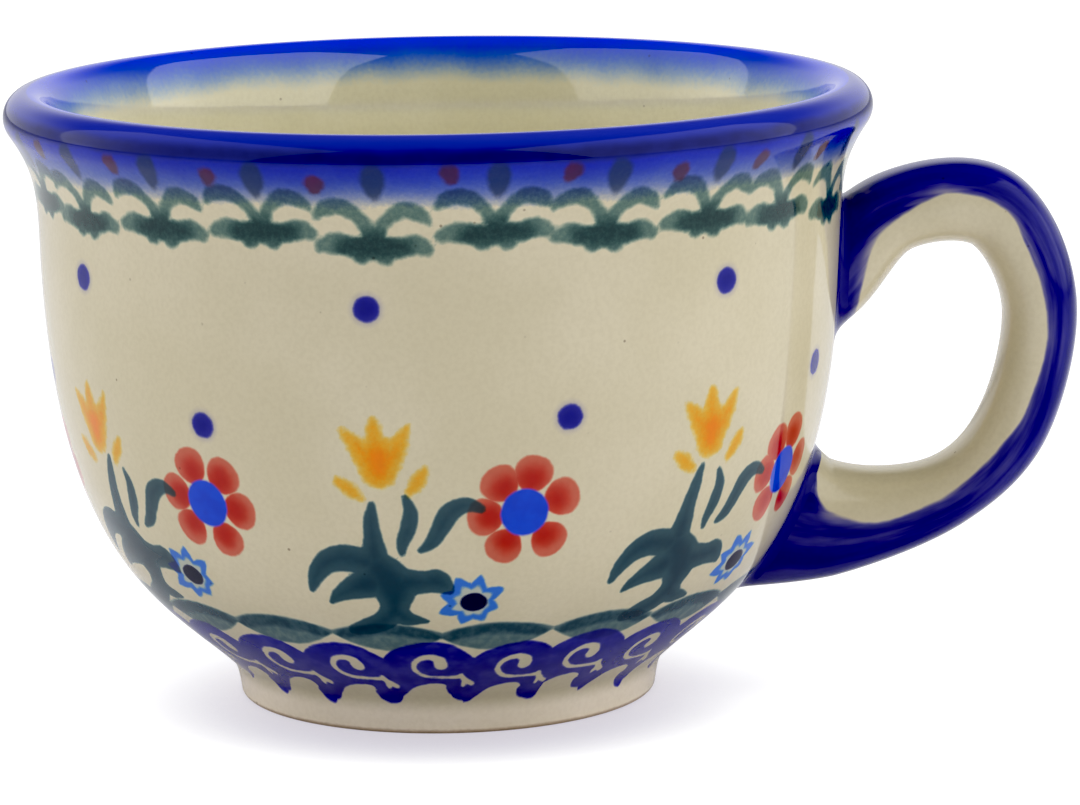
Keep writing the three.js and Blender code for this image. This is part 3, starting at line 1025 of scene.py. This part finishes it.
class Strap:
    """The handle's surface as a function of how far along it is (0 to 1) and the angle round it."""

    def __init__(self):
        self.stations = spline(HANDLE_STATIONS, STRAP_POINTS)
        self.share = np.linspace(0, 1, STRAP_POINTS)
        along = np.gradient(self.stations[:, :2], axis=0)
        self.along = along / np.linalg.norm(along, axis=1)[:, None]

    def at(self, share, angle, margin=0.0):
        x, z, thick, wide = (np.interp(share, self.share, self.stations[:, axis]) for axis in range(4))
        along_x = np.interp(share, self.share, self.along[:, 0])
        along_z = np.interp(share, self.share, self.along[:, 1])
        out = (thick + margin) * rounded(np.cos(angle))
        across = (wide + margin) * rounded(np.sin(angle))
        return np.stack([x - along_z * out, across, z + along_x * out], -1)

    def shares_at_clearance(self, angle, clearance, end):
        """For each angle round the strap, where it reaches a clearance from the wall."""
        shares = np.linspace(0 if end == "upper" else 1, 0.5, ROOT_POINTS)
        found = []
        for one in angle:
            points = self.at(shares, np.full(len(shares), one))
            gap = wall_clearance(points[:, 0], points[:, 1], points[:, 2])
            inside = np.nonzero(gap < clearance)[0]
            last = inside[-1] if len(inside) else 0
            after = min(last + 1, len(shares) - 1)
            span = gap[after] - gap[last]
            blend = (clearance - gap[last]) / span if abs(span) > 1e-9 else 0.0
            found.append(shares[last] + min(max(blend, 0.0), 1.0) * (shares[after] - shares[last]))
        return np.array(found)


def section_angles():
    """Angles round the strap, spread evenly along its outline."""
    fine = np.linspace(0, 2 * math.pi, OUTLINE_POINTS)
    outline = np.stack([STRAP_THICK * rounded(np.cos(fine)), STRAP_WIDE * rounded(np.sin(fine))], 1)
    length = arc_length(outline)
    return np.interp(np.linspace(0, length[-1], HANDLE_SIDES, endpoint=False), length, fine)


def panel_field(share, out):
    """Depth inside the cream panel on the finger side of the strap, clear of the painted roots."""
    edge = spline(PANEL_EDGE, CURVE_POINTS)
    limit = np.interp(share, edge[:, 0], edge[:, 1], left=FAR, right=FAR)
    return np.maximum((limit - out) * GIRTH, FAR)


def make_handle():
    strap = Strap()
    angles = section_angles()
    start = strap.shares_at_clearance(angles, -STRAP_SINK, "upper")
    stop = strap.shares_at_clearance(angles, -STRAP_SINK, "lower")
    rows = np.linspace(0, 1, HANDLE_STEPS + 1)
    share = start[None, :] + rows[:, None] * (stop - start)[None, :]
    around = np.broadcast_to(angles, share.shape)
    points = strap.at(share.ravel(), around.ravel())
    faces = band_faces(HANDLE_STEPS + 1, HANDLE_SIDES).tolist()
    last = HANDLE_STEPS * HANDLE_SIDES
    faces.append(tuple(range(HANDLE_SIDES))[::-1])
    faces.append(tuple(range(last, last + HANDLE_SIDES)))
    piece = new_piece("handle_strap", points, flipped(faces), [handle_glaze("handle_glaze")])
    out = rounded(np.cos(around.ravel()))
    add_field(piece, "panel", panel_field(share.ravel(), out))
    add_field(piece, "along_strap", share.ravel() * STRAP_LENGTH)
    add_field(piece, "round_strap", out * GIRTH)
    return piece


def flipped(faces):
    return [tuple(reversed(face)) for face in faces]


def on_wall(points, depth):
    """Moves points radially so that they lie a depth under the wall's outside."""
    radius = np.hypot(points[:, 0], points[:, 1])
    wanted = np.interp(points[:, 2], OUTSIDE[:, 1], OUTSIDE[:, 0]) - depth
    scale = (wanted / radius)[:, None]
    return points * np.concatenate([scale, scale, np.ones_like(scale)], axis=1)


def make_slip_bead(name, end):
    """The concave bead of slip between a handle root and the wall."""
    strap = Strap()
    angles = section_angles()
    foot_share = strap.shares_at_clearance(angles, 0.0, end)
    top_share = strap.shares_at_clearance(angles, FILLET, end)
    meet = strap.at(foot_share, angles)
    top = strap.at(top_share, angles, FILLET_LIFT)
    middle = meet.mean(axis=0)
    outward = meet - middle
    outward /= np.linalg.norm(outward, axis=1)[:, None]
    base = on_wall(meet + outward * FILLET, -FILLET_LIFT)
    rings = []
    for share in np.linspace(0, 1, FILLET_RINGS):
        rings.append((1 - share) ** 2 * top + 2 * share * (1 - share) * meet + share**2 * base)
    rings.append(on_wall(base, FILLET_SINK))
    rings.append(on_wall(meet, FILLET_SINK))
    rings.append(strap.at(foot_share, angles, -FILLET_SINK))
    rings.append(strap.at(top_share, angles, -FILLET_SINK))
    points = np.concatenate(rings)
    faces = loop_faces(len(rings), HANDLE_SIDES)
    faces = faces if end == "upper" else flipped(faces)
    piece = new_piece(name, points, faces, [handle_glaze(name + "_glaze")])
    add_field(piece, "panel", np.full(len(points), FAR))
    return piece


# -------- stage, light and camera, in metres

FLOOR_SIZE = 6.0
FLOOR_BACK = 1.0  # the floor's middle is behind the cup
FLOOR_SEEN = (0.22, 0.22, 0.22)  # the floor as the camera sees it, on top of its glow
FLOOR_WHITE = (0.85, 0.84, 0.88)  # as the cup is lit by it
FLOOR_MIRRORED = (0.8, 0.8, 0.82)  # as the glaze mirrors it
FLOOR_ROUGHNESS = 0.9
FLOOR_GLOW = (0.98, 0.98, 0.98)
# painted contact shadow: a dimmer glow close under the cup, found by ambient occlusion that is tilted to
# reach further in front
CONTACT_SHADOW_GLOW = (0.55, 0.53, 0.59)  # close under the cup
CONTACT_REACH = 0.015
SHADOW_TILT = (0.0, 0.6, 0.8)  # the light comes from behind, so the shadow reaches further in front

LIT_POINT = (CUP_AXIS_X, 0, 0.05)
BOX_DISTANCE = 0.8
# Softboxes round the cup: degrees round and up, width and height, radiance, mirrored by the glaze or not.
SIDE_BOXES = {
    "right_box": (-20, 33, (1.1, 0.9), 1.25, True),
    "left_box": (-170, 33, (1.1, 0.9), 0.9, True),
    "front_box": (-90, 25, (0.9, 0.5), 0.52, False),
}
TOP_BOX_PLACE = (CUP_AXIS_X, 0.1, 0.9)
TOP_BOX_SIZE = (0.7, 0.5)
TOP_BOX_RADIANCE = 3.2

CAMERA_DISTANCE = 0.61785
CAMERA_HEIGHT = 0.15054
CAMERA_PITCH = 0.18357
CAMERA_YAW = 0.01942
CAMERA_ROLL = -0.01427
CAMERA_LENS = 167.94
CAMERA_SENSOR = 36.0
CAMERA_REACH = 50
BLACK_LEVEL = 0.032  # a studio print's deep blacks


def make_stage():
    """A white floor that glows softly, with a painted contact shadow: its glow dims by ambient occlusion
    close under the cup, which keeps the shadow pale and close to the foot.
    """
    bpy.ops.mesh.primitive_plane_add(size=FLOOR_SIZE, location=(0, FLOOR_BACK, 0))
    floor = bpy.context.object
    floor.name = "floor"
    paint = Paint("floor_white")
    rays = paint.add("ShaderNodeLightPath").outputs
    base = paint.mix(rays["Is Glossy Ray"], FLOOR_WHITE, FLOOR_MIRRORED)
    paint.shade("Base Color", paint.mix(rays["Is Camera Ray"], base, FLOOR_SEEN))
    paint.shade("Roughness", FLOOR_ROUGHNESS)
    paint.shade("Specular IOR Level", 0.0)
    # painted contact shadow: ambient occlusion dims the floor's glow under the cup
    shadow_ao_inputs = {"Distance": CONTACT_REACH, "Normal": paint.joined(*SHADOW_TILT)}
    shadow_ao = paint.add("ShaderNodeAmbientOcclusion", shadow_ao_inputs)
    glow_and_shadow = paint.mix(paint.smooth(shadow_ao.outputs["AO"], 0.1, 0.9), CONTACT_SHADOW_GLOW, FLOOR_GLOW)
    paint.shade("Emission Color", glow_and_shadow)
    paint.shade("Emission Strength", rays["Is Camera Ray"])
    floor.data.materials.append(paint.material)


def make_world():
    """White to the camera. To the cup it is a dim room, brighter behind than in front.

    The glaze mirrors the same room with a dark ceiling.
    """
    world = bpy.data.worlds.new("studio")
    bpy.context.scene.world = world
    world.use_nodes = True
    nodes = Nodes(world.node_tree)
    background = nodes.tree.nodes["Background"]
    rays = nodes.add("ShaderNodeLightPath").outputs
    direction = nodes.add("ShaderNodeTexCoord").outputs["Generated"]
    split = nodes.add("ShaderNodeSeparateXYZ", {0: direction})
    room = nodes.smooth(split.outputs["Y"], -0.3, 0.5, 0.06, 0.9)
    ceiling = nodes.times(room, nodes.smooth(split.outputs["Z"], 0.25, 0.6, 1.0, 0.12))
    lit = nodes.add("ShaderNodeMix", {"Factor": rays["Is Glossy Ray"], "A": room, "B": ceiling})
    seen = nodes.math("MAXIMUM", lit.outputs["Result"], rays["Is Camera Ray"])
    nodes.plug(background.inputs["Strength"], seen)
    background.inputs["Color"].default_value = (1.0, 1.0, 1.0, 1.0)


def make_softbox(name, place, size, radiance, mirrored):
    light = bpy.data.lights.new(name, "AREA")
    light.shape = "RECTANGLE"
    light.size, light.size_y = size
    light.energy = radiance * size[0] * size[1] * math.pi
    lamp = bpy.data.objects.new(name, light)
    lamp.location = place
    lamp.rotation_euler = (Vector(LIT_POINT) - Vector(place)).to_track_quat("-Z", "Y").to_euler()
    lamp.visible_camera = False
    lamp.visible_glossy = mirrored
    bpy.context.scene.collection.objects.link(lamp)


def make_lights():
    for name, (azimuth, elevation, size, radiance, mirrored) in SIDE_BOXES.items():
        bearing = math.radians(azimuth)
        rise = math.radians(elevation)
        away = BOX_DISTANCE * math.cos(rise)
        across = CUP_AXIS_X + away * math.cos(bearing)
        place = (across, away * math.sin(bearing), BOX_DISTANCE * math.sin(rise))
        make_softbox(name, place, size, radiance, mirrored)
    make_softbox("top_box", TOP_BOX_PLACE, TOP_BOX_SIZE, TOP_BOX_RADIANCE, mirrored=False)


def make_camera():
    data = bpy.data.cameras.new("camera")
    data.lens = CAMERA_LENS
    data.sensor_width = CAMERA_SENSOR
    data.clip_end = CAMERA_REACH
    camera = bpy.data.objects.new("camera", data)
    turn = (
        Matrix.Rotation(-CAMERA_YAW, 4, "Z")
        @ Matrix.Rotation(math.pi / 2 - CAMERA_PITCH, 4, "X")
        @ Matrix.Rotation(CAMERA_ROLL, 4, "Z")
    )
    camera.matrix_world = Matrix.Translation((CUP_AXIS_X, -CAMERA_DISTANCE, CAMERA_HEIGHT)) @ turn
    bpy.context.scene.collection.objects.link(camera)
    bpy.context.scene.camera = camera
    look = bpy.context.scene.view_settings
    look.view_transform = "Standard"
    look.use_curve_mapping = True
    look.curve_mapping.black_level = (BLACK_LEVEL, BLACK_LEVEL, BLACK_LEVEL)
    look.curve_mapping.update()


make_camera()
make_stage()
make_world()
make_lights()

PIECES = [
    (make_cup_shell(), "cup_body", "decorated_glaze"),
    (make_foot(), "foot_ring", "foot_glaze"),
    (make_handle(), "handle", "handle_glaze"),
    (make_slip_bead("upper_slip_bead", "upper"), "handle_upper_slip_joint", "joint_glaze"),
    (make_slip_bead("lower_slip_bead", "lower"), "handle_lower_slip_joint", "joint_glaze"),
]
for piece, node, slot in PIECES:
    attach(piece, "root")
    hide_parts(node)
